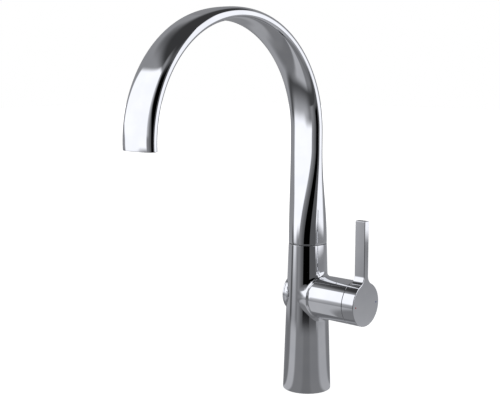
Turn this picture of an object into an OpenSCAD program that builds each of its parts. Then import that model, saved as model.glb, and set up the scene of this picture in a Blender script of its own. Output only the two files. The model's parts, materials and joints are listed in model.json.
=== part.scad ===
// Single-lever kitchen mixer: a tapered body with a side lever on its right, a shut-off knob on its
// left, and a tall swivelling spout that changes from a round column into a flat ribbon arc.
// Millimetres. The origin is the centre of the base on the worktop, +Z is up, the spout reaches
// towards -Y and the lever is on the +X side.

/* [Body] */
// Diameter of the base on the worktop
base_d = 50; // [48:0.5:56]
// Diameter of the body at the swivel seam
top_d = 39.4; // [38.4:0.1:42]
// Height of the swivel seam above the worktop
seam_z = 154.6; // [150:0.2:175]
// Height of the lever's axis above the worktop
axis_z = 100.4; // [97:0.2:104]

/* [Lever] */
// Diameter of the side boss and of the lever's hub
boss_d = 44.4; // [44:0.1:46]
// Distance from the body's axis to the seam between boss and hub
boss_end = 59.9; // [59:0.1:62]
// Distance from the body's axis to the hub's flat face
hub_face = 74.2; // [73:0.1:78]
// Height of the lever's tip above the worktop
lever_top = 184.7; // [165:0.5:200]
// Width of the lever bar, across the body
lever_w = 6.9; // [5:0.1:9]
// Depth of the lever bar, along its axis of rotation
lever_depth = 12.1; // [8:0.1:13]
// Radius of the concave blend between the bar and the hub
lever_blend = 10; // [4:0.5:14]
// How far the lever tilts outwards to open the flow, in degrees
lift_angle = 25; // [10:1:25]

/* [Spout] */
// Radius of the arc's centre line
arc_r = 113.8; // [100:0.2:125]
// Distance from the body's axis back to the ribbon's centre line on the column
ribbon_back = 3.4; // [2:0.1:5]
// Height of the arc's centre above the worktop
arc_z = 269.9; // [262:0.1:300]
// Angle from the top of the column to the outlet
arc_angle = 182.7; // [181:0.1:190]
// Ribbon width at the top of the column
ribbon_w = 38.2; // [36:0.1:40]
// Ribbon width at the outlet
outlet_w = 39.7; // [37:0.1:42]
// Ribbon thickness at the top of the column
ribbon_t = 13.5; // [12.5:0.1:15]
// Ribbon thickness at the outlet
outlet_t = 11.8; // [11.5:0.1:14]
// Wall thickness of the spout
spout_wall = 1.8; // [1.2:0.1:1.8]
// How far the spout swivels each way, in degrees
swivel_angle = 60; // [30:5:75]

/* [Shut-off knob] */
// Diameter of the knob
knob_d = 39.6; // [38:0.1:39.8]
// Distance from the body's axis to the top of the knob's dome
knob_reach = 24.45; // [24:0.05:25]
// Radius of the knob's dome
knob_dome_r = 31; // [30:0.5:34]

/* [Hidden] */

$fn = 96;
e = 0.01;             // overlap that keeps joined solids joined
run = 0.05;           // radial clearance of a running fit

base_r = base_d / 2;
top_r = top_d / 2;
boss_r = boss_d / 2;
seam_gap = 0.6;
body_top = seam_z - seam_gap / 2;
spout_foot = seam_z + seam_gap / 2;

// Cavity of the body
cavity_foot_r = 20.2;
cavity_foot_z = 16;
cavity_top_r = 17.1;
collar_z = body_top - 3;      // underside of the collar that stops the swivel socket
collar_r = 15;

// Deck seal, in a groove in the base
seal_in = 21.3;
seal_out = 23.7;
seal_h = 2.2;

// Supply ports, as [x, y]
hot_at = [3.5, -8.5];
cold_at = [3.5, 8.5];
appliance_at = [-6, 0];
stud_at = [13, 0];
port_r = 4.5;                 // wall of a hole tapped M10 x 1
port_depth = 11;
stud_r = 3.4;                 // wall of a hole tapped M8
base_bottom = 1;
base_top = 15.5;
riser_r = 4;
riser_bore = 3;
riser_foot = 12.5;
riser_top = 88;
drop_foot = 80;               // drillings from here up join the risers to the block's ports
mixed_r = 6;
mixed_foot = 113;

// Valve block and cartridge, along the lever's axis
barrel_r = 20.1;
barrel_end = 47.5;
barrel_bore = 17.5;
seat_x = 10;                  // floor of the cartridge seat
block_left = -10.8;
port_y = 8.5;                 // the cartridge's supply ports, from the axis
port_drop = 4;
outlet_rise = 8;
nut_r = 18.6;
nut_end = 46.5;
nut_bore = 14.1;

// Joystick cartridge
pivot_back = 22;              // from the boss seam back to the stem's pivot
pivot_x = boss_end - pivot_back;
cart_r = 17.4;
base_end = 17;                // seam between the cartridge's base and its housing
fixed_disc_x = 14.5;
seal_end = 11.6;              // the three port seals sit in counterbores this deep in the base
seal_r = 4.5;
outlet_r = 3.2;
disc_r = 15;
moving_disc_r = 9.6;
moving_disc_x = 18.5;
carrier_x = 21.5;
flange_x = 28;
flange_end = 30.15;
chamber_r = 16.2;
neck_x = 40;
rotor_r = 12;
rotor_end = 48;
ball_r = 3;
arm_in = pivot_x - 25.5;      // from the pivot to the stem's ball
disc_travel = arm_in * sin(lift_angle);
pin_r = 2;
stem_r = 4;
stem_end = hub_face - 1.8;
grub_x = hub_face - 3;

// The seam between boss, dome and hub is spherical about the pivot, so that the hub can tilt
seam_sphere = norm([pivot_back, boss_r]);
dome_r = seam_sphere - 0.35;
hub_sphere = seam_sphere + 0.35;
dome_wall = 2;
skirt_r = 19.8;
boss_bore = 20.2;
web_x = 49;
hub_boss_x = 56.2;
hub_boss_r = 6.5;
mark_y = 17.5;
mark_r = 0.9;
mark_depth = 0.8;

// Shut-off valve on the left
knob_r = knob_d / 2;
knob_seat_x = -15;            // flat that the knob turns on
knob_pocket_r = knob_r + 0.3;
pad_t = 4;
headwork_r = 8.3;
headwork_seat_x = -3;
headwork_flange_r = 11;
gasket_x = -15.6;
feed_r = 1.8;                 // ports of the shut-off valve's two discs
feed_drop = 2;
chamber_x = -8.6;             // mouth of the chamber that holds the discs
spindle_r = 3.5;
knob_wall = 1.8;

// Swivel
socket_r = 17;
socket_z = 126;
socket_floor = 131;
spigot_r = 11;
stop_z = 142;
stop_tip_r = 2.2;
o_ring_r = 1.15;
o_ring_mid = 9.88;
o_ring_z = [135.2, 149.8];
spigot_bore = 5;
mixed_lap = 2;                // how far the mixed riser runs into the socket's foot
stop_head_r = 2.5;

// Spout
arc_y = -ribbon_back - arc_r;
square_n = 2.7;               // exponent of the ribbon's superellipse section
widen_z = seam_z + 79;
flatten_z = seam_z + 99;
lean_z = seam_z + 94;
hose_r = 3.7;
hose_bore = 2.7;
aerator_l = 8;
stub_angle = (aerator_l + 2) / arc_r * 180 / PI;
stub_bore = 1.8;
hose_foot = spout_foot + 9;
hose_angle = arc_angle - (aerator_l + 0.4) / arc_r * 180 / PI;

function smooth(t) = let (c = max(0, min(1, t))) c * c * (3 - 2 * c);
function mix(a, b, t) = a + (b - a) * t;

// A superellipse of width w and thickness t: n = 2 is an ellipse, and a larger n is squarer
function superellipse(w, t, n, sides) = [
    for (i = [0 : sides - 1])
        let (a = 360 * i / sides, c = cos(a), s = sin(a))
        [w / 2 * sign(c) * pow(abs(c), 2 / n), t / 2 * sign(s) * pow(abs(s), 2 / n)]];

// One ring of the spout's surface on the column, at height z
function column_ring(z, inset, sides) =
    let (
        k = smooth((z - seam_z) / (flatten_z - seam_z)),
        w = mix(top_d, ribbon_w, smooth((z - seam_z) / (widen_z - seam_z))),
        t = mix(top_d, ribbon_t, k),
        y = -ribbon_back * smooth((z - seam_z) / (lean_z - seam_z)))
    [for (p = superellipse(w - 2 * inset, t - 2 * inset, mix(2, square_n, k), sides))
        [p.x, y + p.y, z]];

// One ring of the spout's surface on the arc, at angle a
function arc_ring(a, inset, sides) =
    let (
        w = mix(ribbon_w, outlet_w, a / arc_angle),
        t = mix(ribbon_t, outlet_t, a / arc_angle))
    [for (p = superellipse(w - 2 * inset, t - 2 * inset, square_n, sides))
        [p.x, arc_y + (arc_r + p.y) * cos(a), arc_z + (arc_r + p.y) * sin(a)]];

function spout_rings(inset, sides) = concat(
    [for (i = [0 : 19]) column_ring(mix(spout_foot, arc_z, i / 20), inset, sides)],
    [for (i = [0 : 43]) arc_ring(180 * i / 44, inset, sides)],
    [arc_ring(180, inset, sides), arc_ring(arc_angle, inset, sides)]);

// One ring of the inner hose: it leans back up the column and then follows the arc
function hose_column_ring(z, r, sides) =
    let (y = -ribbon_back * min(1, (z - hose_foot) / (lean_z - hose_foot)))
    [for (i = [0 : sides - 1]) let (a = 360 * i / sides) [r * cos(a), y + r * sin(a), z]];

function hose_arc_ring(a, r, sides) = [
    for (i = [0 : sides - 1])
        let (b = 360 * i / sides, reach = arc_r + r * sin(b))
        [r * cos(b), arc_y + reach * cos(a), arc_z + reach * sin(a)]];

function hose_rings(r, sides) = concat(
    [for (z = [hose_foot, lean_z]) hose_column_ring(z, r, sides)],
    [for (i = [0 : 35]) hose_arc_ring(hose_angle * i / 35, r, sides)]);

// A tube between an outer and an inner skin that have the same rings, closed at both ends
module skin_tube(outer, inner) {
    rings = len(outer);
    sides = len(outer[0]);
    inner_start = rings * sides;
    function at(start, r, s) = start + r * sides + s % sides;
    points = [for (skin = [outer, inner]) for (ring = skin) for (p = ring) p];
    outer_faces = [
        for (r = [0 : rings - 2]) for (s = [0 : sides - 1])
            each [[at(0, r, s), at(0, r + 1, s), at(0, r + 1, s + 1)],
                  [at(0, r, s), at(0, r + 1, s + 1), at(0, r, s + 1)]]];
    inner_faces = [
        for (r = [0 : rings - 2]) for (s = [0 : sides - 1])
            each [[at(inner_start, r, s), at(inner_start, r + 1, s + 1), at(inner_start, r + 1, s)],
                  [at(inner_start, r, s), at(inner_start, r, s + 1),
                   at(inner_start, r + 1, s + 1)]]];
    last = rings - 1;
    end_faces = [
        for (s = [0 : sides - 1])
            each [[at(0, 0, s), at(0, 0, s + 1), at(inner_start, 0, s + 1)],
                  [at(0, 0, s), at(inner_start, 0, s + 1), at(inner_start, 0, s)],
                  [at(0, last, s), at(inner_start, last, s + 1), at(0, last, s + 1)],
                  [at(0, last, s), at(inner_start, last, s), at(inner_start, last, s + 1)]]];
    polyhedron(points, concat(outer_faces, inner_faces, end_faces), convexity = 10);
}

// Child geometry drawn along +Z is laid along the lever's axis, +X
module along_axis() translate([0, 0, axis_z]) rotate([0, 90, 0]) children();

// A cylinder on the lever's axis from x0 to x1, moved off the axis by dy and dz
module axle(r, x0, x1, dy = 0, dz = 0)
    translate([x0, dy, axis_z + dz]) rotate([0, 90, 0]) cylinder(r = r, h = x1 - x0);

module ring(r_out, r_in, z0, z1)
    translate([0, 0, z0]) difference() {
        cylinder(r = r_out, h = z1 - z0);
        translate([0, 0, -1]) cylinder(r = r_in, h = z1 - z0 + 2);
    }

module o_ring(mid_r, wire_r) rotate_extrude() translate([mid_r, 0]) circle(r = wire_r, $fn = 32);

// A straight round bar between two points
module rod(a, b, r) {
    d = b - a;
    translate(a) rotate([0, acos(d.z / norm(d)), atan2(d.y, d.x)]) cylinder(r = r, h = norm(d));
}

// Child geometry is placed with the outlet's plane at z = 0 and the flow along +Z
module at_outlet(back = 0)
    translate([0, arc_y, arc_z]) rotate([arc_angle - back, 0, 0]) translate([0, arc_r, 0])
        children();

module slot_plate(w, t, h, n = square_n)
    linear_extrude(height = h) polygon(superellipse(w, t, n, 48));

// ---- Body ----

module body_cone(inset = 0)
    cylinder(r1 = base_r - inset, r2 = base_r - inset - (base_r - top_r) * body_top / seam_z,
             h = body_top);

module body_shell() color("silver") difference() {
    union() {
        body_cone();
        axle(boss_r, 0, boss_end);
        axle(knob_r, knob_seat_x, 0);
    }
    translate([0, 0, -1]) cylinder(r = cavity_foot_r, h = cavity_foot_z + 1);
    difference() {
        translate([0, 0, cavity_foot_z - e])
            cylinder(r1 = cavity_foot_r, r2 = cavity_top_r, h = collar_z - cavity_foot_z + e);
        axle(knob_pocket_r, knob_seat_x - 1, knob_seat_x + pad_t);
    }
    translate([0, 0, collar_z - 1]) cylinder(r = collar_r, h = 5);
    axle(boss_bore, 0, boss_end + 1);
    axle(knob_pocket_r, knob_seat_x - 20, knob_seat_x);
    axle(headwork_r + 0.1, knob_seat_x - 1, knob_seat_x + pad_t + 1);
    ring(seal_out, seal_in, -1, seal_h);
    translate([0, 0, stop_z]) rotate([-90, 0, 0]) cylinder(r = stop_head_r, h = base_r);
}

module deck_seal() color("dimgray") ring(seal_out, seal_in, 0, seal_h);

module port(at) {
    translate([at.x, at.y, base_bottom - 1]) cylinder(r = port_r, h = port_depth + 1);
    translate([at.x, at.y, base_bottom]) cylinder(r = riser_bore, h = base_top);
    translate([at.x, at.y, riser_foot]) cylinder(r = riser_r, h = base_top);
}

module base_block() color("darkgoldenrod") difference() {
    translate([0, 0, base_bottom]) cylinder(r = cavity_foot_r, h = base_top - base_bottom);
    port(hot_at);
    port(cold_at);
    port(appliance_at);
    translate([stud_at.x, stud_at.y, 0]) cylinder(r = stud_r, h = base_top + 1);
}

module riser(at) translate([at.x, at.y, 0]) ring(riser_r, riser_bore, riser_foot, riser_top);

module riser_socket(at)
    translate([at.x, at.y, drop_foot - 10]) cylinder(r = riser_r, h = riser_top - drop_foot + 10);

module hot_riser() color("peru") riser(hot_at);

module cold_riser() color("peru") riser(cold_at);

module appliance_riser() color("peru") riser(appliance_at);

module mixed_riser() color("peru") 
    ring(mixed_r, spigot_bore, mixed_foot, socket_z + mixed_lap);

module valve_block() color("darkgoldenrod") difference() {
    union() {
        axle(barrel_r, 0, barrel_end);
        intersection() {
            axle(barrel_r - 0.2, block_left, 1);
            translate([0, 0, axis_z - 25]) cylinder(r = 17.4, h = 50);
        }
    }
    axle(barrel_bore, seat_x, barrel_end + 1);
    axle(nut_r + run, neck_x, barrel_end + 1);
    // supply ports, their drops to the risers, and the riser sockets
    for (at = [hot_at, cold_at]) {
        axle(riser_bore, at.x, seat_x + 1, at.y, -port_drop);
        translate([at.x, at.y, drop_foot])
            cylinder(r = riser_bore, h = axis_z - port_drop - drop_foot);
        riser_socket(at);
    }
    // mixed water goes up to the swivel
    axle(outlet_r, 0, seat_x + 1, 0, outlet_rise);
    translate([0, 0, axis_z + outlet_rise]) cylinder(r = outlet_r, h = 20);
    translate([0, 0, mixed_foot]) cylinder(r = mixed_r, h = 20);
    // shut-off valve: seat, feed from the cold side, and outlet to the appliance riser
    axle(headwork_r, block_left - 1, headwork_seat_x);
    rod([cold_at.x, cold_at.y, axis_z - port_drop], [-2, 0, axis_z - feed_drop], feed_r);
    axle(feed_r, headwork_seat_x - 1, -1.5, 0, -feed_drop);
    translate([appliance_at.x, appliance_at.y, drop_foot]) cylinder(r = riser_bore, h = 14);
    riser_socket(appliance_at);
}

// ---- Swivel between body and spout ----

module swivel_socket() color("darkgoldenrod") difference() {
    union() {
        translate([0, 0, socket_z]) cylinder(r = socket_r, h = collar_z - socket_z);
        translate([0, 0, collar_z - e]) cylinder(r = collar_r - 0.1, h = 3);
    }
    translate([0, 0, socket_floor]) cylinder(r = spigot_r + run, h = 40);
    translate([0, 0, socket_z - 1]) cylinder(r = spigot_bore, h = 10);
    translate([0, 0, socket_z - 1]) cylinder(r = mixed_r, h = mixed_lap + 1);
    translate([0, 0, stop_z]) rotate([-90, 0, 0]) cylinder(r = stop_head_r, h = base_r);
}

module swivel_glide_ring() color("dimgray")
    ring(top_r - 0.6, spigot_r + 1, body_top, spout_foot - 0.05);

module swivel_stop_screw() color("gray") difference() {
    union() {
        translate([0, spigot_r + 0.4, stop_z]) rotate([-90, 0, 0])
            cylinder(r = stop_head_r, h = 6.6);
        translate([0, 9, stop_z]) rotate([-90, 0, 0]) cylinder(r = stop_tip_r, h = 3);
    }
    translate([0, 15.5, stop_z]) rotate([-90, 0, 0]) cylinder(r = 1.44, h = 5, $fn = 6);
}

// The spigot turns in the socket: its part-ring groove runs on the stop screw's tip
module spout_spigot() color("goldenrod") difference() {
    union() {
        translate([0, 0, socket_floor + 0.5])
            cylinder(r = spigot_r, h = spout_foot - socket_floor);
        translate([0, 0, spout_foot]) cylinder(r = 17.2, h = 8);
        translate([0, 0, spout_foot]) cylinder(r = hose_bore - 0.3, h = 14);
    }
    for (z = o_ring_z) ring(spigot_r + 1, o_ring_mid - o_ring_r - 0.03, z - 1.2, z + 1.2);
    stop_half = swivel_angle + asin(stop_tip_r / 9) + 0.5;
    translate([0, 0, stop_z - stop_tip_r - 0.2])
        rotate([0, 0, 90 - stop_half]) rotate_extrude(angle = 2 * stop_half)
            translate([8.6, 0]) square([4, 2 * stop_tip_r + 0.4]);
    translate([0, 0, socket_floor]) cylinder(r = spigot_bore, h = 20);
    translate([0, 0, socket_floor]) cylinder(r = stub_bore, h = 60);
}

module spigot_o_rings() color("black")
    for (z = o_ring_z) translate([0, 0, z]) o_ring(o_ring_mid, o_ring_r);

// ---- Spout ----

module spout_shell() color("gainsboro")
    skin_tube(spout_rings(0, 36), spout_rings(spout_wall, 36));

module spout_hose() color("white") skin_tube(hose_rings(hose_r, 16), hose_rings(hose_bore, 16));

module hose_ferrule() color("lightgray")
    translate([0, -0.3, 0]) ring(hose_r + 1.2, hose_r + 0.35, spout_foot + 10, spout_foot + 16);

// The stub that carries the hose's end is straight, so it is laid along the middle of its own arc
module aerator_housing() color("gray") difference() {
    union() {
        at_outlet() translate([0, 0, -aerator_l]) slot_plate(35.4, 7.3, aerator_l - 0.8);
        at_outlet(stub_angle) cylinder(r = hose_bore - 0.25, h = 5.6, center = true);
    }
    at_outlet() translate([0, 0, -aerator_l + 1.6]) slot_plate(33.4, 5.3, aerator_l);
    at_outlet(stub_angle) cylinder(r = stub_bore, h = 10, center = true);
}

module aerator_gasket() color("black") at_outlet() translate([0, 0, -4.2]) difference() {
    slot_plate(33.2, 5.1, 1);
    translate([0, 0, -1]) slot_plate(30.6, 3, 3);
}

module aerator_screen() color("dimgray") at_outlet() translate([0, 0, -3.1]) difference() {
    slot_plate(33.2, 5.1, 1.5);
    for (x = [-14 : 2 : 14])
        translate([x, 0, 0]) cube([1.1, 3.2, 8], center = true);
}

// ---- Cartridge ----

module cartridge_base() color("whitesmoke") difference() {
    axle(cart_r, seat_x + 0.1, base_end);
    axle(disc_r + run, fixed_disc_x, base_end + 1);
    for (y = [-port_y, port_y]) {
        axle(riser_bore, seat_x, base_end + 1, y, -port_drop);
        axle(seal_r + 0.1, seat_x, seal_end, y, -port_drop);
    }
    axle(outlet_r, seat_x, base_end + 1, 0, outlet_rise);
    axle(seal_r + 0.1, seat_x, seal_end, 0, outlet_rise);
}

module cartridge_seals() color("black")
    for (p = [[-port_y, -port_drop], [port_y, -port_drop], [0, outlet_rise]])
        difference() {
            axle(seal_r, seat_x, seal_end, p.x, p.y);
            axle(outlet_r, seat_x - 1, seal_end + 1, p.x, p.y);
        }

module cartridge_fixed_disc() color("ivory") difference() {
    axle(disc_r, fixed_disc_x, moving_disc_x - 0.02);
    for (y = [-port_y, port_y]) axle(2.8, 14, 19, y, -port_drop);
    axle(3, 14, 19, 0, outlet_rise);
}

module cartridge_moving_disc() color("ivory") difference() {
    axle(moving_disc_r, moving_disc_x, carrier_x);
    axle(4, moving_disc_x - 1, moving_disc_x + 1.8, 0, 2);
}

module disc_carrier() color("lightblue") difference() {
    intersection() {
        axle(moving_disc_r, carrier_x, flange_x - 0.3);
        translate([0, 0, axis_z]) cube([80, 17, 40], center = true);
    }
    axle(ball_r + 0.25, carrier_x + 0.8, flange_x + 1);
}

module cartridge_housing() color("whitesmoke") difference() {
    union() {
        axle(cart_r, base_end, neck_x);
        axle(nut_bore - 0.1, neck_x - e, rotor_end - 1.2);
    }
    axle(chamber_r, base_end - 1, flange_end + run);
    axle(rotor_r + run, flange_end, rotor_end + 1);
}

module cartridge_nut() color("goldenrod") difference() {
    axle(nut_r, neck_x, nut_end);
    axle(nut_bore, neck_x - 1, nut_end + 1);
    for (a = [0 : 60 : 300])
        along_axis() rotate([0, 0, a]) translate([(nut_r + nut_bore) / 2, 0, nut_end - 1.2])
            cylinder(r = 1.2, h = 4, $fn = 24);
}

// The stem's slot through the rotor, as a side outline about the pivot
module stem_slot(half_w)
    translate([pivot_x, half_w, axis_z]) rotate([90, 0, 0]) linear_extrude(height = 2 * half_w)
        polygon([[-16, -3.6], [-16, 9.5], [-4, 6.5], [5, 6], [11, 5], [12, -11], [3, -6.3],
                 [-4, -6.3]]);

module cartridge_rotor() color("lightsteelblue") difference() {
    union() {
        axle(rotor_r, flange_x, rotor_end);
        axle(chamber_r - 0.4, flange_x, flange_end);
        difference() {
            axle(13.4, 23, flange_x + e);
            translate([0, 0, axis_z]) cube([100, 17.4, 60], center = true);
        }
    }
    stem_slot(4.4);
    translate([pivot_x, 0, axis_z]) rotate([90, 0, 0])
        cylinder(r = pin_r, h = 40, center = true);
    difference() {
        axle(rotor_r + 1, 43, 45);
        axle(rotor_r - 1.5, 42, 46);
    }
}

module rotor_o_ring() color("black") along_axis() translate([0, 0, 44]) o_ring(11.2, 0.7);

module stem_pivot_pin() color("silver")
    translate([pivot_x, 0, axis_z]) rotate([90, 0, 0]) cylinder(r = pin_r, h = 22, center = true);

// Chromed cap on the rotor: it fills the boss behind the hub and turns with the lever
module dome_cover() color("silver") difference() {
    translate([pivot_x, 0, axis_z]) rotate([0, 90, 0]) rotate_extrude() difference() {
        intersection() {
            circle(r = dome_r);
            translate([0, web_x - pivot_x]) square([skirt_r, dome_r]);
        }
        intersection() {
            circle(r = dome_r - dome_wall);
            translate([0, web_x + 2 - pivot_x]) square([skirt_r - dome_wall, dome_r]);
        }
        translate([-dome_r, -dome_r]) square([dome_r, 2 * dome_r]);
    }
    // slot for the stem, and above it the wider one for the hub's socket
    translate([rotor_end - 1, -4.7, axis_z - 11.4]) cube([5, 9.4, 16.2]);
    translate([web_x + 5, -hub_boss_r - 0.8, axis_z - 21])
        cube([30, 2 * hub_boss_r + 1.6, 21 + hub_boss_r + 0.8]);
}

// ---- Lever ----

// Front outline of the bar, which runs into the round hub through two concave blends
module lever_outline() {
    bar_half = lever_w / 2;
    blend_y = bar_half + lever_blend;
    blend_z = sqrt(pow(boss_r + lever_blend, 2) - pow(blend_y, 2));
    difference() {
        union() {
            difference() {
                polygon([[0, 0], [-blend_y, blend_z], [blend_y, blend_z]]);
                for (s = [-1, 1]) translate([s * blend_y, blend_z]) circle(r = lever_blend);
            }
            translate([-bar_half, 0]) square([lever_w, lever_top - axis_z]);
        }
        circle(r = boss_r - 1);
    }
}

// The hub is turned: its back is a spherical hollow round the pivot, with a socket for the stem
module hub()
    translate([pivot_x, 0, axis_z]) rotate([0, 90, 0]) rotate_extrude() {
        difference() {
            square([boss_r, hub_face - pivot_x]);
            circle(r = hub_sphere);
        }
        translate([0, hub_boss_x - pivot_x]) square([hub_boss_r, hub_face - hub_boss_x]);
    }

module handle() color("silver") difference() {
    union() {
        hub();
        translate([hub_face - lever_depth, 0, axis_z]) rotate([90, 0, 90])
            linear_extrude(height = lever_depth) lever_outline();
    }
    axle(stem_r, boss_end - 10, stem_end);
    translate([grub_x, 0, axis_z - boss_r - 1]) cylinder(r = 2, h = boss_r);
    for (s = [-1, 1]) axle(mark_r, hub_face - mark_depth, hub_face + 1, s * mark_y);
}

module handle_stem() color("lightgray") difference() {
    union() {
        axle(stem_r, pivot_x, stem_end);
        axle(2, pivot_x - arm_in, pivot_x);
        translate([pivot_x - arm_in, 0, axis_z]) sphere(r = ball_r);
        translate([pivot_x, 0, axis_z]) rotate([90, 0, 0]) cylinder(r = 5, h = 8.4, center = true);
    }
    translate([pivot_x, 0, axis_z]) rotate([90, 0, 0])
        cylinder(r = pin_r + run, h = 40, center = true);
    translate([grub_x, 0, axis_z - 8]) cylinder(r = 2, h = 5);
}

module handle_grub_screw() color("dimgray")
    translate([grub_x, 0, axis_z - 20.6]) difference() {
        cylinder(r = 2, h = 17.6);
        translate([0, 0, -1]) cylinder(r = 1.16, h = 3.5, $fn = 6);
    }

module hot_mark() color("red") axle(mark_r, hub_face - mark_depth, hub_face, -mark_y);

module cold_mark() color("blue") axle(mark_r, hub_face - mark_depth, hub_face, mark_y);

// ---- Shut-off valve for an appliance ----

module headwork_body() color("goldenrod") difference() {
    union() {
        axle(headwork_r, gasket_x - e, headwork_seat_x - 0.02);
        axle(headwork_flange_r, gasket_x - 1.6, gasket_x);
    }
    axle(spindle_r + run, -18, 0);
    axle(6.8, chamber_x, 0);
    translate([appliance_at.x, 0, axis_z - 12]) cylinder(r = 1.6, h = 12);
}

module headwork_gasket() color("black") difference() {
    axle(headwork_flange_r, gasket_x, knob_seat_x);
    axle(headwork_r + run, gasket_x - 1, knob_seat_x + 1);
}

module headwork_fixed_disc() color("ivory") difference() {
    axle(6.7, -4.6, headwork_seat_x - 0.04);
    axle(feed_r, -6, 0, 0, -feed_drop);
}

module headwork_moving_disc() color("ivory") difference() {
    axle(6.6, -6.2, -4.62);
    for (dz = [-3, 3]) axle(feed_r, -8, 0, 0, dz);
}

module headwork_spindle() color("gold") difference() {
    union() {
        axle(6.5, -8.5, -6.2);
        axle(spindle_r, -21, -8.5 + e);
    }
    difference() {
        axle(spindle_r + 1, -13.8, -12);
        axle(spindle_r - 0.9, -14, -11);
    }
}

module spindle_o_ring() color("black") along_axis() translate([0, 0, -12.9]) o_ring(3.05, 0.43);

// The knob is turned: a shallow dome with a boss for the spindle, drawn along -X
module valve_knob() color("silver")
    translate([0, 0, axis_z]) rotate([0, -90, 0]) rotate_extrude() difference() {
        union() {
            difference() {
                knob_dome(knob_dome_r, -knob_seat_x + 0.3, knob_r);
                knob_dome(knob_dome_r - knob_wall, -knob_seat_x, knob_r - knob_wall);
            }
            translate([0, 17.6]) square([6, knob_reach - 18.8]);
        }
        translate([-1, 0]) square([spindle_r + 1, 21]);
    }

// Half of the dome's section between the axis and radius r, beyond the height low
module knob_dome(dome, low, r) intersection() {
    translate([0, knob_reach - knob_dome_r]) circle(r = dome);
    translate([0, low]) square([r, knob_reach]);
}

body_shell();
deck_seal();
base_block();
hot_riser();
cold_riser();
appliance_riser();
mixed_riser();
valve_block();
swivel_socket();
swivel_glide_ring();
swivel_stop_screw();
cartridge_base();
cartridge_seals();
cartridge_fixed_disc();
cartridge_housing();
cartridge_nut();
cartridge_moving_disc();
disc_carrier();
cartridge_rotor();
rotor_o_ring();
stem_pivot_pin();
dome_cover();
handle();
handle_stem();
handle_grub_screw();
hot_mark();
cold_mark();
headwork_body();
headwork_gasket();
headwork_fixed_disc();
headwork_moving_disc();
headwork_spindle();
spindle_o_ring();
valve_knob();
spout_shell();
spout_spigot();
spigot_o_rings();
spout_hose();
hose_ferrule();
aerator_housing();
aerator_gasket();
aerator_screen();
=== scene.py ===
import json
import math

import bmesh
import bpy
import numpy as np
from mathutils import Matrix, Vector

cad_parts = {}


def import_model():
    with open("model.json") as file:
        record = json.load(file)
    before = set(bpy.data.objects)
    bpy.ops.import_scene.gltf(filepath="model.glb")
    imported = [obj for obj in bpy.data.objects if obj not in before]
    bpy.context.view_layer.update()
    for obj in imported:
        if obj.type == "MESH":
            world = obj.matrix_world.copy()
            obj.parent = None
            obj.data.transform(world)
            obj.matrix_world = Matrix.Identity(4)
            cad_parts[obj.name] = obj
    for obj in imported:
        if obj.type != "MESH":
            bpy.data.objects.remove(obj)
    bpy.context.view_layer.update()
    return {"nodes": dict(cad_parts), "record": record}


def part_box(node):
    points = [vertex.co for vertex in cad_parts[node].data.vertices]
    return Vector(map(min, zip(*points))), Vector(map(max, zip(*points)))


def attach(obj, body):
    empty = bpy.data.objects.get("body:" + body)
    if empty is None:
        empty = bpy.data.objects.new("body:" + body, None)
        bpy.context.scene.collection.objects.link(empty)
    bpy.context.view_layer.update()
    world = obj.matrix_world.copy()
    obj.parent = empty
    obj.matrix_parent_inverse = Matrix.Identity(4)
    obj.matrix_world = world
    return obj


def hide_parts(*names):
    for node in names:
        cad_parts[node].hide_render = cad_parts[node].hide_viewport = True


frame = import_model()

MM = 0.001

# ---------------------------------------------------------------- sizes, read from the CAD frame

body_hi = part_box("body_shell")[1]
hub_lo, hub_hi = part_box("handle")
spout_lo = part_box("spout_shell")[0]
knob_lo, knob_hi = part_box("valve_knob")

BASE_R = body_hi.y
BODY_TOP = body_hi.z
SPOUT_FOOT = spout_lo.z
SEAM_Z = (BODY_TOP + SPOUT_FOOT) / 2
BOSS_R = hub_hi.y
AXIS_Z = hub_lo.z + BOSS_R
BOSS_END = body_hi.x
HUB_FACE = hub_hi.x
LEVER_TOP = hub_hi.z
KNOB_R = knob_hi.y
KNOB_REACH = -knob_lo.x
KNOB_BACK = knob_hi.x

# sizes that the CAD source fixes and no box shows
PIVOT_BACK = 22 * MM
PIVOT_X = BOSS_END - PIVOT_BACK
TOP_R = 19.7 * MM
LEVER_W = 6.9 * MM
LEVER_DEPTH = 12.1 * MM
LEVER_BLEND = 10 * MM
ARC_R = 113.8 * MM
RIBBON_BACK = 3.4 * MM
ARC_Y = -RIBBON_BACK - ARC_R
ARC_Z = 269.9 * MM
ARC_ANGLE = math.radians(182.7)
RIBBON_W = 38.2 * MM
OUTLET_W = 39.7 * MM
RIBBON_T = 13.5 * MM
OUTLET_T = 11.8 * MM
SPOUT_WALL = 1.8 * MM
SQUARE_N = 2.7
WIDEN_Z = SEAM_Z + 79 * MM
FLATTEN_Z = SEAM_Z + 99 * MM
LEAN_Z = SEAM_Z + 94 * MM
CAVITY_FOOT_R = 20.2 * MM
CAVITY_FOOT_Z = 16 * MM
CAVITY_TOP_R = 17.1 * MM
COLLAR_R = 15 * MM
COLLAR_H = 3 * MM
BOSS_BORE = 20.2 * MM
KNOB_SEAT_X = -15 * MM
KNOB_POCKET_R = KNOB_R + 0.3 * MM
KNOB_DOME_R = 31 * MM
KNOB_WALL = 1.8 * MM
KNOB_SOCKET_R = 6 * MM
KNOB_SOCKET_FOOT = 17.6 * MM
SPINDLE_R = 3.5 * MM
SPINDLE_END = 21 * MM
PAD_T = 4 * MM
HEADWORK_HOLE_R = 8.4 * MM
STOP_Z = 142 * MM
STOP_SCREW_R = 2.5 * MM
SEAL_IN, SEAL_OUT, SEAL_H = 21.3 * MM, 23.7 * MM, 2.2 * MM
HUB_SPHERE = math.hypot(PIVOT_BACK, BOSS_R) + 0.35 * MM
HUB_BOSS_R = 6.5 * MM
HUB_BOSS_X = 56.2 * MM
STEM_R = 4 * MM
STEM_END = HUB_FACE - 1.8 * MM
GRUB_R = 2 * MM
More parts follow.
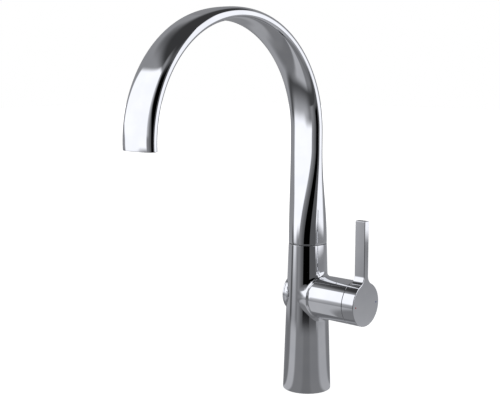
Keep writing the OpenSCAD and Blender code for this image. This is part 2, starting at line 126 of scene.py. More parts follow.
GRUB_X = HUB_FACE - 3 * MM

# details that only the visual model has
EDGE = 0.4 * MM          # radius that polishing leaves on an edge
LEVER_EDGE = 0.75 * MM   # the same on the lever's bar and face
BLEND_R = 4.0 * MM       # fillet between the body and the side boss
NECK_X = 13 * MM         # where the boss starts to swell out of the body's side
NECK_RUN = 7 * MM        # the length over which it swells
NECK_DROP = 0.8 * MM     # how much less than the body's radius it starts with
FACE_BACK = 0.14 * MM    # how far the hub's face is set back, so that its marks stand out

# ---------------------------------------------------------------- helpers


def smooth(t):
    t = np.clip(t, 0, 1)
    return t * t * (3 - 2 * t)


def mix(a, b, t):
    return a + (b - a) * t


def grid_faces(rows, cols):
    """Quads between rows of points that are closed rings, stored row by row."""
    faces = []
    for r in range(rows - 1):
        for c in range(cols):
            d = (c + 1) % cols
            faces.append((r * cols + c, r * cols + d, (r + 1) * cols + d, (r + 1) * cols + c))
    return faces


def mesh_object(name, verts, faces, check=True):
    """A smooth-shaded mesh. check drops any face that isn't valid."""
    mesh = bpy.data.meshes.new(name)
    mesh.from_pydata([tuple(v) for v in verts], [], [tuple(f) for f in faces])
    if check:
        mesh.validate()
    mesh.shade_smooth()
    obj = bpy.data.objects.new(name, mesh)
    bpy.context.scene.collection.objects.link(obj)
    return obj


def tidy_mesh(obj, merge=1e-7):
    """Merges doubled points and makes the faces point outwards."""
    bm = bmesh.new()
    bm.from_mesh(obj.data)
    bmesh.ops.remove_doubles(bm, verts=bm.verts, dist=merge)
    bmesh.ops.recalc_face_normals(bm, faces=bm.faces)
    bm.to_mesh(obj.data)
    bm.free()


def apply_modifiers(obj):
    """Makes the result of the modifiers the object's own mesh."""
    dg = bpy.context.evaluated_depsgraph_get()
    mesh = bpy.data.meshes.new_from_object(obj.evaluated_get(dg))
    obj.modifiers.clear()
    obj.data = mesh


def place(obj, body, slot, material, *replaced):
    """Gives a finished piece its body and its material, and hides the nodes it stands for. slot is not
    used.
    """
    obj.data.materials.clear()
    obj.data.materials.append(material)
    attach(obj, body)
    if replaced:
        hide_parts(*replaced)
    return obj


def revolve(name, profile, axis="z", centre=(0, 0, 0), steps=160):
    """Turns a profile of (radius, height) points. The height runs along +z, +x or -x. A profile
    that starts and ends on the axis closes there, and any other is a ring."""
    verts = []
    for r, h in profile:
        for i in range(steps):
            a = 2 * math.pi * i / steps
            u, v = r * math.cos(a), r * math.sin(a)
            verts.append({"z": (u, v, h), "x": (h, u, v), "-x": (-h, -u, v)}[axis])
    verts = [Vector(v) + Vector(centre) for v in verts]
    n = len(profile)
    faces = grid_faces(n, steps)
    if profile[0][0] > 0:
        faces += [(i, (n - 1) * steps + i, (n - 1) * steps + (i + 1) % steps, (i + 1) % steps)
                  for i in range(steps)]
    obj = mesh_object(name, verts, faces, False)
    tidy_mesh(obj)
    return obj


def arc(cx, cy, r, start, end, steps):
    """Points on an arc, in degrees."""
    return [(cx + r * math.cos(math.radians(a)), cy + r * math.sin(math.radians(a)))
            for a in np.linspace(start, end, steps + 1)]


def sharpen(obj, degrees):
    """Marks edges that turn more than this as sharp."""
    obj.data.set_sharp_from_angle(angle=math.radians(degrees))


# ---------------------------------------------------------------- materials


def new_material(name):
    """A principled material, with its nodes, its links and its shader."""
    m = bpy.data.materials.new(name)
    m.use_nodes = True
    nodes, links = m.node_tree.nodes, m.node_tree.links
    return m, nodes, links, nodes["Principled BSDF"]


def noise(nodes, links, scale, detail=3, stretch=(1, 1, 1)):
    """Noise on the object's own coordinates, in metres."""
    coords = nodes.new("ShaderNodeTexCoord")
    mapping = nodes.new("ShaderNodeMapping")
    mapping.inputs["Scale"].default_value = stretch
    tex = nodes.new("ShaderNodeTexNoise")
    tex.inputs["Scale"].default_value = scale
    tex.inputs["Detail"].default_value = detail
    links.new(coords.outputs["Object"], mapping.inputs["Vector"])
    links.new(mapping.outputs["Vector"], tex.inputs["Vector"])
    return tex


def ramp(nodes, links, source, low, high):
    """A colour ramp over the middle of the noise's range."""
    r = nodes.new("ShaderNodeValToRGB")
    for element, position, colour in zip(r.color_ramp.elements, (0.35, 0.65), (low, high)):
        element.position = position
        element.color = (*colour, 1)
    links.new(source, r.inputs["Fac"])
    return r


def chrome():
    """Mirror chrome: its gloss varies faintly with wiping marks, over the plating's slight orange
    peel."""
    m, nodes, links, shader = new_material("polished_chrome")
    shader.inputs["Metallic"].default_value = 1
    tint = ramp(nodes, links, noise(nodes, links, 60).outputs["Fac"],
                (0.80, 0.805, 0.82), (0.84, 0.842, 0.85))
    links.new(tint.outputs["Color"], shader.inputs["Base Color"])
    gloss = ramp(nodes, links, noise(nodes, links, 90, 5).outputs["Fac"],
                 (0.028,) * 3, (0.05,) * 3)
    links.new(gloss.outputs["Color"], shader.inputs["Roughness"])
    bump = nodes.new("ShaderNodeBump")
    bump.inputs["Strength"].default_value = 0.015
    bump.inputs["Distance"].default_value = 0.0002
    links.new(noise(nodes, links, 220, 2).outputs["Fac"], bump.inputs["Height"])
    links.new(bump.outputs["Normal"], shader.inputs["Normal"])
    return m


def simple(name, low, high, rough, metallic=0.0, scale=150, bump_size=0.2, stretch=(1, 1, 1)):
    """Cast, turned, moulded or rubber parts, whose colour and surface vary a little."""
    m, nodes, links, shader = new_material(name)
    shader.inputs["Metallic"].default_value = metallic
    tex = noise(nodes, links, scale, 4, stretch)
    tint = ramp(nodes, links, tex.outputs["Fac"], low, high)
    links.new(tint.outputs["Color"], shader.inputs["Base Color"])
    gloss = ramp(nodes, links, tex.outputs["Fac"], (rough * 0.8,) * 3, (rough * 1.2,) * 3)
    links.new(gloss.outputs["Color"], shader.inputs["Roughness"])
    bump = nodes.new("ShaderNodeBump")
    bump.inputs["Strength"].default_value = bump_size
    bump.inputs["Distance"].default_value = 0.0001
    links.new(tex.outputs["Fac"], bump.inputs["Height"])
    links.new(bump.outputs["Normal"], shader.inputs["Normal"])
    return m


CHROME = chrome()
MATERIALS = {
    "chrome": CHROME,
    "brass": simple("machined_brass", (0.60, 0.42, 0.17), (0.72, 0.54, 0.26), 0.3, 1, 400),
    "copper_tube": simple("drawn_copper", (0.62, 0.32, 0.2), (0.76, 0.43, 0.28), 0.25, 1, 200,
                          stretch=(1, 1, 0.1)),
    "steel": simple("plain_steel", (0.45, 0.45, 0.46), (0.58, 0.58, 0.59), 0.3, 1, 500),
    "black_rubber": simple("black_rubber", (0.012,) * 3, (0.03,) * 3, 0.6, 0, 300),
    "white_plastic": simple("white_plastic", (0.72, 0.72, 0.7), (0.8, 0.8, 0.78), 0.45, 0, 500),
    "grey_plastic": simple("grey_plastic", (0.03, 0.03, 0.032), (0.05, 0.05, 0.052), 0.4, 0, 500),
    "ceramic": simple("lapped_ceramic", (0.85, 0.83, 0.78), (0.9, 0.88, 0.84), 0.15, 0, 300, 0.05),
    "hose_plastic": simple("hose_plastic", (0.75, 0.75, 0.73), (0.82, 0.82, 0.8), 0.35, 0, 300),
    "red_paint": simple("red_mark", (0.22, 0.004, 0.01), (0.28, 0.006, 0.014), 0.6, 0, 900, 0.05),
    "blue_paint": simple("blue_mark", (0.002, 0.008, 0.12), (0.004, 0.012, 0.16), 0.6, 0, 900, 0.05),
}

# the CAD's own nodes, where they are shown, get the material of their record slot
SLOTS = {s["node"]: s["material_slot"] for s in frame["record"]["subparts"]}
for node_name, node in frame["nodes"].items():
    node.data.materials.clear()
    node.data.materials.append(MATERIALS[SLOTS[node_name]])

# ---------------------------------------------------------------- spout


def superellipse(w, t, n, sides):
    """The outline's points: an ellipse for n = 2, and squarer above that."""
    a = np.linspace(0, 2 * np.pi, sides, endpoint=False)
    c, s = np.cos(a), np.sin(a)
    return (w / 2 * np.sign(c) * np.abs(c) ** (2 / n), t / 2 * np.sign(s) * np.abs(s) ** (2 / n))


def column_ring(z, inset, sides):
    """The spout's outline below the arc, where it turns from round to flat."""
    k = smooth((z - SEAM_Z) / (FLATTEN_Z - SEAM_Z))
    w = mix(2 * TOP_R, RIBBON_W, smooth((z - SEAM_Z) / (WIDEN_Z - SEAM_Z)))
    t = mix(2 * TOP_R, RIBBON_T, k)
    y = -RIBBON_BACK * smooth((z - SEAM_Z) / (LEAN_Z - SEAM_Z))
    px, py = superellipse(w - 2 * inset, t - 2 * inset, mix(2, SQUARE_N, k), sides)
    return np.stack([px, y + py, np.full(sides, z)], 1)


def arc_ring(a, inset, sides):
    """The spout's outline at an angle round the arc."""
    w = mix(RIBBON_W, OUTLET_W, a / ARC_ANGLE)
    t = mix(RIBBON_T, OUTLET_T, a / ARC_ANGLE)
    px, py = superellipse(w - 2 * inset, t - 2 * inset, SQUARE_N, sides)
    reach = ARC_R + py
    return np.stack([px, ARC_Y + reach * math.cos(a), ARC_Z + reach * math.sin(a)], 1)


def spout():
    """One closed skin: up the outside, round the outlet, back along the inside to the foot."""
    sides = 128
    rounding = [(EDGE * (1 - math.sin(t)), EDGE * (1 - math.cos(t)))
                for t in np.linspace(0, math.pi / 2, 5)]        # (distance from the end, inset)
    rings = []
    for d, inset in reversed(rounding):
        rings.append(column_ring(SPOUT_FOOT + d, inset, sides))
    for z in np.linspace(SPOUT_FOOT + EDGE, ARC_Z, 70)[1:-1]:
        rings.append(column_ring(z, 0, sides))
    for a in np.linspace(0, math.pi, 121):
        rings.append(arc_ring(a, 0, sides))
    for d, inset in rounding:
        rings.append(arc_ring(ARC_ANGLE - d / ARC_R, inset, sides))
    # inner skin, back from the outlet to the foot
    for a in np.linspace(ARC_ANGLE, 0, 60):
        rings.append(arc_ring(a, SPOUT_WALL, sides))
    for z in np.linspace(ARC_Z, SPOUT_FOOT, 40)[1:]:
        rings.append(column_ring(z, SPOUT_WALL, sides))
    rings.append(rings[0])
    obj = mesh_object("spout", np.concatenate(rings), grid_faces(len(rings), sides))
    tidy_mesh(obj)
    sharpen(obj, 50)
    return place(obj, "spout", "chrome", CHROME, "spout_shell")


spout()

# ---------------------------------------------------------------- body


def body_radius(z):
    """The outside of the straight taper."""
    return BASE_R - (BASE_R - TOP_R) * z / SEAM_Z


def body_field(p):
    """Signed distance, near the surface, to the tapered body blended with its side boss."""
    x, y, z = p[..., 0], p[..., 1], p[..., 2]
    dz = z - AXIS_Z
    flat = np.hypot(x, y)
    across = np.hypot(y, dz)
    wall = flat - body_radius(z)
    start_r = body_radius(AXIS_Z)
    boss_r = mix(start_r - NECK_DROP, BOSS_R, smooth((x - NECK_X) / NECK_RUN))
    boss = across - boss_r + np.maximum(-x, 0)
    square = np.clip(1 - (y * y / np.maximum(flat * across, 1e-9)) ** 2, 0, 1)
    r = BLEND_R * np.sqrt(square) + 1e-9
    rounded = r - np.hypot(np.maximum(r - wall, 0), np.maximum(r - boss, 0))
    return np.where((wall < r) & (boss < r), rounded, np.minimum(wall, boss))


def cast(origin, direction, near=12 * MM, far=48 * MM):
    """The distance along each ray at which the body's field is zero."""
    lo = np.full(len(origin), near)
    hi = np.full(len(origin), far)
    for _ in range(40):
        mid = (lo + hi) / 2
        inside = body_field(origin + direction * mid[:, None]) < 0
        lo = np.where(inside, mid, lo)
        hi = np.where(inside, hi, mid)
    return origin + direction * ((lo + hi) / 2)[:, None]


def body_outside():
    """The body's outer skin: patches cast from its two axes, which meet on the curve x = |z - axis|."""
    spokes = 96                                  # half of the points round the meeting curve
    t = np.linspace(0, 2 * np.pi, 2 * spokes, endpoint=False)
    centre = np.array([0, 0, AXIS_Z])
    d = np.stack([np.abs(np.cos(t)), np.sin(t), np.cos(t)], 1)
    d[np.abs(d) < 1e-12] = 0
    d /= np.linalg.norm(d, axis=1)[:, None]
    meet = cast(np.tile(centre, (len(t), 1)), d)
    verts, faces = [], []

    def add(block):
        start = sum(len(b) for b in verts)
        rows, cols = block.shape[:2]
        verts.append(block.reshape(-1, 3))
        faces.extend(tuple(i + start for i in f) for f in grid_faces(rows, cols))

    # boss, from the meeting curve out to its rounded end
    spin = np.arctan2(meet[:, 1], meet[:, 2] - AXIS_Z)
    side = np.stack([np.zeros(len(t)), np.sin(spin), np.cos(spin)], 1)
    rows = [meet]
    for s in np.linspace(0, 1, 61)[1:] ** 1.6:
        x = mix(meet[:, 0], BOSS_END - EDGE, s)
        axis = np.stack([x, np.zeros(len(t)), np.full(len(t), AXIS_Z)], 1)
        rows.append(cast(axis, side))
    for a in np.linspace(0, math.pi / 2, 5)[1:]:
        x = BOSS_END - EDGE * (1 - math.sin(a))
        r = BOSS_R - EDGE * (1 - math.cos(a))
        rows.append(np.array([x, 0, AXIS_Z]) + side * r)
    boss_cap = rows[-1]
    add(np.stack(rows))

    # body, from the meeting curve up and down, and right round behind
    quarter = spokes // 2
    upper = np.roll(meet, quarter, axis=0)[: spokes + 1]
    lower = np.roll(meet, -quarter, axis=0)[: spokes + 1]
    steps = np.linspace(0, 1, 61) ** 1.5
    lip = np.linspace(0, math.pi / 2, 5)[1:]
    ends = []
    for edge, end in ((upper, BODY_TOP), (lower, 0.0)):
        stop = end + (EDGE if end == 0 else -EDGE)
        turn = np.arctan2(edge[:, 1], edge[:, 0])
        back = turn[-1] + np.linspace(0, 1, spokes + 1)[1:-1] * (
            2 * np.pi - abs(turn[-1] - turn[0])) * np.sign(turn[-1] - turn[0])
        turn_all = np.concatenate([turn, back])
        start_z = np.concatenate([edge[:, 2], np.full(len(back), AXIS_Z)])
        out = np.stack([np.cos(turn_all), np.sin(turn_all), np.zeros(len(turn_all))], 1)
        rows = []
        for s in steps:
            z = mix(start_z, stop, s)
            axis = np.stack([np.zeros(len(z)), np.zeros(len(z)), z], 1)
            rows.append(cast(axis, out))
        rows[0][: len(edge)] = edge
        for a in lip:
            z = end + (stop - end) * (1 - math.sin(a))
            r = body_radius(z) - EDGE * (1 - math.cos(a))
            rows.append(np.array([0, 0, z]) + out * r)
        ends.append(rows[-1])
        add(np.stack(rows))
    # flat ends
    start = sum(len(b) for b in verts)
    for ring in (boss_cap, *ends):
        verts.append(ring)
        faces.append(tuple(range(start, start + len(ring))))
        start += len(ring)
    obj = mesh_object("body", np.concatenate(verts), faces)
    tidy_mesh(obj, 2e-7)
    return obj


def tool(name, profile, axis, centre=(0, 0, 0), steps=128):
    """A turned piece that is used up in a cut."""
    return revolve(name, profile, axis, centre, steps)


def cylinder_profile(r, low, high):
    return [(0, low), (r, low), (r, high), (0, high)]


def cut(obj, cutter, operation="DIFFERENCE"):
    m = obj.modifiers.new(operation.lower(), "BOOLEAN")
    m.operation = operation
    m.solver = "MANIFOLD"
    m.object = cutter
    apply_modifiers(obj)
    bpy.data.objects.remove(cutter)


def true_normals(obj, tolerance=1.5e-6):
    """Sets exact normals where the mesh lies on the body's field, so that the cuts don't disturb
    the reflections, and leaves the faces of the cuts smooth or sharp by their angle."""
    mesh = obj.data
    n = len(mesh.vertices)
    co = np.empty(n * 3)
    mesh.vertices.foreach_get("co", co)
    co = co.reshape(-1, 3)
    step = 1e-6
    grad = np.stack([body_field(co + step * k) - body_field(co - step * k) for k in np.eye(3)], 1)
    grad /= np.maximum(np.linalg.norm(grad, axis=1)[:, None], 1e-12)
    on_skin = np.abs(body_field(co)) < tolerance
    sharpen(obj, 40)
    loops = len(mesh.loops)
    corner = np.empty(loops * 3)
    mesh.corner_normals.foreach_get("vector", corner)
    corner = corner.reshape(-1, 3)
    vert_of = np.empty(loops, int)
    mesh.loops.foreach_get("vertex_index", vert_of)
    face_of = np.repeat(np.arange(len(mesh.polygons)),
                        [p.loop_total for p in mesh.polygons])
    face_n = np.empty(len(mesh.polygons) * 3)
    mesh.polygons.foreach_get("normal", face_n)
    face_n = face_n.reshape(-1, 3)[face_of]
    use = on_skin[vert_of] & ((face_n * grad[vert_of]).sum(1) > 0.9)
    corner[use] = grad[vert_of][use]
    mesh.normals_split_custom_set([tuple(c) for c in corner])


def body():
    """The blended outer skin, with its boss for the knob and its hollows cut out."""
    obj = body_outside()
    # the knob's boss on the left, then the flat and pocket that it turns in
    cut(obj, tool("left_boss", cylinder_profile(KNOB_R, 0, MM - KNOB_SEAT_X), "-x",
                  (0, 0, AXIS_Z), 192), "UNION")
    cut(obj, tool("knob_pocket", cylinder_profile(KNOB_POCKET_R, -KNOB_SEAT_X, 30 * MM), "-x",
                  (0, 0, AXIS_Z), 192))
    # inside: the tapered cavity less the pad behind the knob, the boss's bore and the holes
    collar_z = BODY_TOP - COLLAR_H
    cavity = tool("cavity", [(0, -MM), (CAVITY_FOOT_R, -MM), (CAVITY_FOOT_R, CAVITY_FOOT_Z),
                             (CAVITY_TOP_R, collar_z), (COLLAR_R, collar_z),
                             (COLLAR_R, BODY_TOP + MM), (0, BODY_TOP + MM)], "z")
    pad = cylinder_profile(KNOB_POCKET_R + MM, -KNOB_SEAT_X - PAD_T, 30 * MM)
    cut(cavity, tool("pad", pad, "-x", (0, 0, AXIS_Z)))
    cut(obj, cavity)
    cut(obj, tool("boss_bore", cylinder_profile(BOSS_BORE, 0, BOSS_END + MM), "x", (0, 0, AXIS_Z)))
    cut(obj, tool("headwork_hole", cylinder_profile(HEADWORK_HOLE_R, 5 * MM, 20 * MM), "-x",
                  (0, 0, AXIS_Z)))
    seal = [(SEAL_IN, -MM), (SEAL_OUT, -MM), (SEAL_OUT, SEAL_H), (SEAL_IN, SEAL_H)]
    cut(obj, tool("seal_groove", seal, "z"))
    # the stop screw's hole, at the back
    stop_hole = tool("stop_hole", cylinder_profile(STOP_SCREW_R, 12 * MM, 30 * MM), "x", steps=48)
    to_back = Matrix.Rotation(math.pi / 2, 4, "Z")
    stop_hole.data.transform(Matrix.Translation((0, 0, STOP_Z)) @ to_back)
    cut(obj, stop_hole)
    true_normals(obj)
    return place(obj, "body", "chrome", CHROME, "body_shell")


body()

# ---------------------------------------------------------------- shut-off knob


def knob():
    """A turned cap: shallow dome, rounded rim, thin wall, and a socket for the spindle."""
    centre_h = KNOB_REACH - KNOB_DOME_R
    rim = KNOB_R - EDGE
    rim_angle = math.degrees(math.acos(rim / KNOB_DOME_R))
    top = [(0, KNOB_REACH)] + arc(0, centre_h, KNOB_DOME_R, 90, rim_angle, 48)[1:]
    side_h = top[-1][1] - 0.45 * MM
    back = -KNOB_BACK
    inner_r = KNOB_R - KNOB_WALL
    inner_dome_r = KNOB_DOME_R - KNOB_WALL
    inner_angle = math.degrees(math.acos(inner_r / inner_dome_r))
    inner = arc(0, centre_h, inner_dome_r, inner_angle, 76, 24)
    profile = (top + [(KNOB_R - 0.1 * MM, side_h + 0.2 * MM), (KNOB_R, side_h - 0.1 * MM),
                      (KNOB_R, back + EDGE), (KNOB_R - EDGE, back), (inner_r, back)]
               + inner + [(KNOB_SOCKET_R, inner[-1][1]), (KNOB_SOCKET_R, KNOB_SOCKET_FOOT),
                          (SPINDLE_R, KNOB_SOCKET_FOOT), (SPINDLE_R, SPINDLE_END),
                          (0, SPINDLE_END)])
    obj = revolve("knob", profile, "-x", (0, 0, AXIS_Z), 192)
    sharpen(obj, 40)
    return place(obj, "shut_off", "chrome", CHROME, "valve_knob")


knob()

# ---------------------------------------------------------------- lever


def lever_outline():
    """The front outline as (y, z - axis) points: round under the hub's circle, then up the blend on
    one side, across the bar's tip, and down the blend on the other side."""
    half = LEVER_W / 2
    blend_y = half + LEVER_BLEND
    blend_z = math.sqrt((BOSS_R + LEVER_BLEND) ** 2 - blend_y ** 2)
    foot = math.degrees(math.atan2(blend_z, blend_y))
    tip = LEVER_TOP - AXIS_Z
    hub = arc(0, 0, BOSS_R, foot, 180 - foot - 360, 168)
    left = arc(-blend_y, blend_z, LEVER_BLEND, -foot, 0, 16)
    right = arc(blend_y, blend_z, LEVER_BLEND, 180, 180 + foot, 16)
    bar = [(-half, tip), (half, tip)]
    return hub, left[1:], bar, right[:-1]


def lever():
    """The hub and its bar: one outline carried back from the face, with the hub going on behind
    the bar to a spherical hollow and the stem's socket."""
    face_x = HUB_FACE - FACE_BACK
    inner_x = HUB_FACE - LEVER_DEPTH
    rear_x = PIVOT_X + math.sqrt(HUB_SPHERE ** 2 - BOSS_R ** 2)
    hub, left, bar, right = lever_outline()
    outline = hub + left + bar + right
    n, h = len(outline), len(hub)
    start_a = math.atan2(hub[-1][1], hub[-1][0])
    end_a = math.atan2(hub[0][1], hub[0][0])
    top = [(BOSS_R * math.cos(a), BOSS_R * math.sin(a))
           for a in np.linspace(start_a, end_a, 40)[1:-1]]
    circle = hub + top

    def at(x, points):
        return [(x, p[0], AXIS_Z + p[1]) for p in points]

    verts = at(face_x, outline) + at(inner_x, outline)
    faces = [tuple(range(n))]
    faces += [(i, n + i, n + (i + 1) % n, (i + 1) % n) for i in range(n)]
    # inner face of the bar: its outline above the hub, closed by the hub's circle
    first_top = len(verts)
    verts += at(inner_x, top)
    last_top = len(verts) - 1
    faces.append(tuple([n + h - 1] + list(range(n + h, 2 * n)) + [n]
                       + list(range(last_top, first_top - 1, -1))))
    # the hub behind the bar, back to its rim
    front_ring = [n + i for i in range(h)] + list(range(first_top, last_top + 1))
    m = len(circle)
    rear = len(verts)
    verts += at(rear_x, circle)
    faces += [(front_ring[i], rear + i, rear + (i + 1) % m, front_ring[(i + 1) % m])
              for i in range(m)]
    # spherical hollow, then the stem's socket
    ring = rear
    rim_angle = math.asin(BOSS_R / HUB_SPHERE)
    boss_angle = math.asin(HUB_BOSS_R / HUB_SPHERE)
    hollow = [(HUB_SPHERE * math.sin(a), PIVOT_X + HUB_SPHERE * math.cos(a))
              for a in np.linspace(rim_angle, boss_angle, 28)[1:]]
    socket = [(HUB_BOSS_R, HUB_BOSS_X), (STEM_R, HUB_BOSS_X), (STEM_R, STEM_END)]
    for r, x in hollow + socket:
        new = len(verts)
        verts += at(x, [(p[0] * r / BOSS_R, p[1] * r / BOSS_R) for p in circle])
        faces += [(ring + i, new + i, new + (i + 1) % m, ring + (i + 1) % m) for i in range(m)]
        ring = new
    faces.append(tuple(ring + i for i in range(m)))
    obj = mesh_object("lever", verts, faces)
    tidy_mesh(obj)
    # round the edges of the face, the tip and the bar's back
    mesh = obj.data
    weight = mesh.attributes.new("bevel_weight_edge", "FLOAT", "EDGE")
    for edge in mesh.edges:
        a, b = (mesh.vertices[i].co for i in edge.vertices)
        on_face = min(a.x, b.x) > face_x - 1e-6
        on_tip = min(a.z, b.z) > LEVER_TOP - 1e-6
        on_back = (max(a.x, b.x) < inner_x + 1e-6 and min(a.x, b.x) > inner_x - 1e-6
                   and min(a.z, b.z) > AXIS_Z + BOSS_R + 2 * MM)
        weight.data[edge.index].value = float(on_face or on_tip or on_back)
    bevel = obj.modifiers.new("edges", "BEVEL")
    bevel.width = LEVER_EDGE
    bevel.segments = 4
    bevel.limit_method = "WEIGHT"
    bevel.use_clamp_overlap = False
    apply_modifiers(obj)
    cut(obj, tool("grub_hole", cylinder_profile(GRUB_R, -24 * MM, 0), "z",
                  (GRUB_X, 0, AXIS_Z), 32))
    sharpen(obj, 40)
    flat = obj.modifiers.new("flat_faces", "WEIGHTED_NORMAL")
    flat.weight = 100
    flat.keep_sharp = True
    apply_modifiers(obj)
    return place(obj, "lever", "chrome", CHROME, "handle")


lever()


def mark(name, node, slot_name):
    """An enamel dot in the hub's face, slightly domed."""
    lo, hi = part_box(node)
    r = (hi.y - lo.y) / 2
    y, z = (lo.y + hi.y) / 2, (lo.z + hi.z) / 2
    height = hi.x - lo.x - 0.02 * MM
    profile = [(0, height), (0.5 * r, height - 0.01 * MM), (0.85 * r, height - 0.05 * MM),
               (r, height - 0.16 * MM), (r, 0), (0, 0)]
    obj = revolve(name, profile, "x", (lo.x, y, z), 48)
    sharpen(obj, 60)
    return place(obj, "lever", slot_name, MATERIALS[slot_name], node)


mark("red_dot", "hot_mark", "red_paint")
mark("blue_dot", "cold_mark", "blue_paint")

# ---------------------------------------------------------------- studio

TENT_CENTRE = (0, -60 * MM, 250 * MM)
TENT_R = 900 * MM
CHROME_GREY = 0.82       # how much of the light the chrome returns
DAYLIGHT = (0.97, 0.985, 1.04)
TABLE_R = 430 * MM


def camera():
    """The main view: from the front right, a little above the tap."""
    distance, height = 996.6 * MM, 335.9 * MM
    around = math.radians(38.13)
    heading = around + math.radians(3.45)
    down = math.radians(7.83)
    data = bpy.data.cameras.new("camera")
    data.sensor_width = 36
    data.lens = 70.07
    data.clip_start = 0.05
    cam = bpy.data.objects.new("camera", data)
    bpy.context.scene.collection.objects.link(cam)
    cam.location = (distance * math.sin(around), -distance * math.cos(around), height)
    forward = Vector((-math.sin(heading) * math.cos(down), math.cos(heading) * math.cos(down),
                      -math.sin(down)))
    cam.rotation_mode = "QUATERNION"
    cam.rotation_quaternion = forward.to_track_quat("-Z", "Y")
    bpy.context.scene.camera = cam


def rise(x, start, end):
    """0 before start, 1 after end, and smooth between."""
    return smooth((x - start) / (end - start))


def band(x, low, high, soft_low, soft_high):
    """1 between low and high, with an edge of its own softness at each end."""
    return (rise(x, low - soft_low, low + soft_low)
            * (1 - rise(x, high - soft_high, high + soft_high)))


def room_glow(az, el):
    """How bright the room looks in the chrome, 0 to 1, towards an azimuth (from the front towards the
    lever's side) and a height above the horizon, in degrees."""
    # grey walls under a dark ceiling, and the floor beyond the table
    g = mix(0.53, 0.45, rise(az, -20, 60))
    g = mix(g, 0.50, band(az, 150, 400, 10, 10))
    g = mix(g, 0.22, rise(el, 42, 53))
    g = mix(g, 0.58, 1 - rise(el, -24, -10))
    # the front wall grows darker to the right, up to the black flag
    front_wall = mix(0.50, 0.33, rise(az, -18, 14))
    g = mix(g, front_wall, band(az, -30, 90, 6, 3) * band(el, -60, 60, 8, 8))
    flag_from = mix(14, -6, rise(el, 2, 26))
    flag_soft = mix(1.5, 8, rise(el, 2, 20))
    g = mix(g, 0.035, band(az, flag_from, 52, flag_soft, 2) * band(el, -22, 48, 3, 8))
    # light that the left softbox spills on the wall beside it, and on the floor in front of it
    spill = 0.8 * (1 - rise(az, -26, 0)) * band(az, -40, 80, 4, 4) * band(el, 3, 42, 2, 6)
    g = mix(g, 0.9, spill)
    lit_floor = mix(0.25, 0.66, rise(el, -42, -14) * band(az, -60, -26, 8, 14))
    front_floor = band(az, -72, mix(75, -24, rise(el, -34, -24)), 8, 8)
    g = mix(g, lit_floor, front_floor * (1 - rise(el, -14, -6)) * band(el, -52, 10, 1, 1))
    # left softbox, lower towards its left
    top = 46 - 0.36 * np.maximum(-34 - az, 0)
    low_left = mix(-59, -72, rise(el, -1, 8))
    left = np.where(el < 5, low_left, -72 + 0.25 * np.clip(el - 15, 0, 60))
    box = rise(az, left - 2.5, left + 2.5) * (1 - rise(az, -19.5, -15.5))
    foot = mix(-20, -15, rise(az, -42, -34))
    box = box * (1 - rise(el, top - 2, top + 2)) * rise(el, foot, foot + 11)
    g = mix(g, 0.99, box)
    # right softbox
    return mix(g, 0.97, band(az, 88, 150, 2.5, 6) * band(el, -14, 72, 1, 6))


def table_glow(az):
    """The same for the grey table: lighter where the softboxes reach it."""
    return (0.46 + 0.19 * band(az, -56, -20, 5, 5) + 0.16 * band(az, 94, 146, 8, 8)
            - 0.04 * band(az, 20, 52, 6, 6) - 0.03 * band(az, -90, -60, 6, 4))


def glow_material():
    """Emission painted on the set's own points. The alpha fades the table's edge."""
    m = bpy.data.materials.new("studio_glow")
    m.use_nodes = True
    nodes, links = m.node_tree.nodes, m.node_tree.links
    nodes.clear()
    paint = nodes.new("ShaderNodeAttribute")
    paint.attribute_name = "glow"
    glow = nodes.new("ShaderNodeEmission")
    clear = nodes.new("ShaderNodeBsdfTransparent")
    fade = nodes.new("ShaderNodeMixShader")
    out = nodes.new("ShaderNodeOutputMaterial")
    links.new(paint.outputs["Color"], glow.inputs["Color"])
    links.new(paint.outputs["Alpha"], fade.inputs["Fac"])
    links.new(clear.outputs["BSDF"], fade.inputs[1])
    links.new(glow.outputs["Emission"], fade.inputs[2])
    links.new(fade.outputs["Shader"], out.inputs["Surface"])
    m.cycles.emission_sampling = "NONE"
    return m


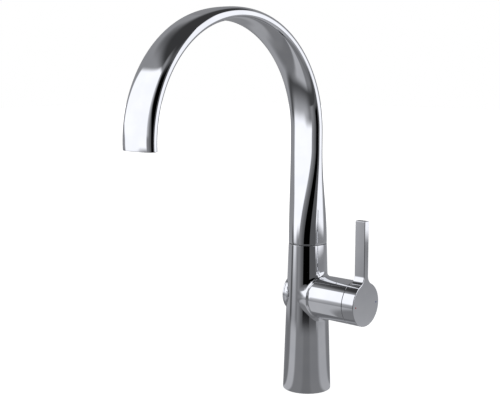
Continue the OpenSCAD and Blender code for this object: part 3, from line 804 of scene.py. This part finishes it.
def glow_piece(name, points, rows, cols, shown, alpha, material):
    """A grid of points that glows, seen in reflections but not by the camera. shown is how bright
    each point looks in the chrome, 0 to 1."""
    obj = mesh_object(name, points, grid_faces(rows, cols), False)
    light = np.clip(shown, 0, 1)[:, None] ** 2.2 / CHROME_GREY * np.array(DAYLIGHT)
    paint = obj.data.color_attributes.new("glow", "FLOAT_COLOR", "POINT")
    paint.data.foreach_set("color", np.concatenate([light, alpha[:, None]], 1).ravel())
    obj.data.materials.append(material)
    obj.visible_camera = False
    obj.visible_shadow = False


def room():
    """A round tent about the tap, with two softboxes and a black flag, and the grey table under it."""
    material = glow_material()
    el, az = np.meshgrid(np.linspace(-89.9, 89.9, 240), np.arange(-180, 180, 0.75), indexing="ij")
    shape, az, el = az.shape, az.ravel(), el.ravel()
    a, e = np.radians(az), np.radians(el)
    out = np.stack([np.sin(a) * np.cos(e), -np.cos(a) * np.cos(e), np.sin(e)], 1)
    # behind on the left, -160 to -120 degrees count as 200 to 240 and show the back wall's grey
    shown = room_glow(np.where((az > -160) & (az < -120), az + 360, az), el)
    glow_piece("tent", np.array(TENT_CENTRE) + TENT_R * out, *shape, shown, np.ones(len(az)),
               material)
    r, az = np.meshgrid(np.linspace(2 * MM, TABLE_R, 60), np.arange(-180, 180, 3.0), indexing="ij")
    shape, r, az = r.shape, r.ravel(), az.ravel()
    a = np.radians(az)
    points = np.stack([r * np.sin(a), -r * np.cos(a), np.full(len(r), -0.5 * MM)], 1)
    fade = 1 - rise(r, 300 * MM, 420 * MM)
    glow_piece("table", points, *shape, table_glow(az), fade, material)


def floor():
    """A white sheet, so evenly lit that the horizon doesn't show."""
    m, nodes, links, shader = new_material("pale_floor")
    shader.inputs["Base Color"].default_value = (0.25, 0.25, 0.25, 1)
    shader.inputs["Roughness"].default_value = 0.9
    shader.inputs["Emission Color"].default_value = (1, 1, 1, 1)
    shader.inputs["Emission Strength"].default_value = 0.97
    s = 6.0                  # metres each way
    corners = [(-s, -s, 0), (s, -s, 0), (s, s, 0), (-s, s, 0)]
    obj = mesh_object("floor", corners, [(0, 1, 2, 3)])
    obj.data.materials.append(m)
    obj.visible_glossy = False


def world():
    """Plain white beyond the floor's edge."""
    w = bpy.data.worlds.new("studio")
    bpy.context.scene.world = w
    w.use_nodes = True
    w.node_tree.nodes["Background"].inputs["Color"].default_value = (1, 1, 1, 1)


camera()
room()
floor()
world()
bpy.context.scene.view_settings.view_transform = "Standard"
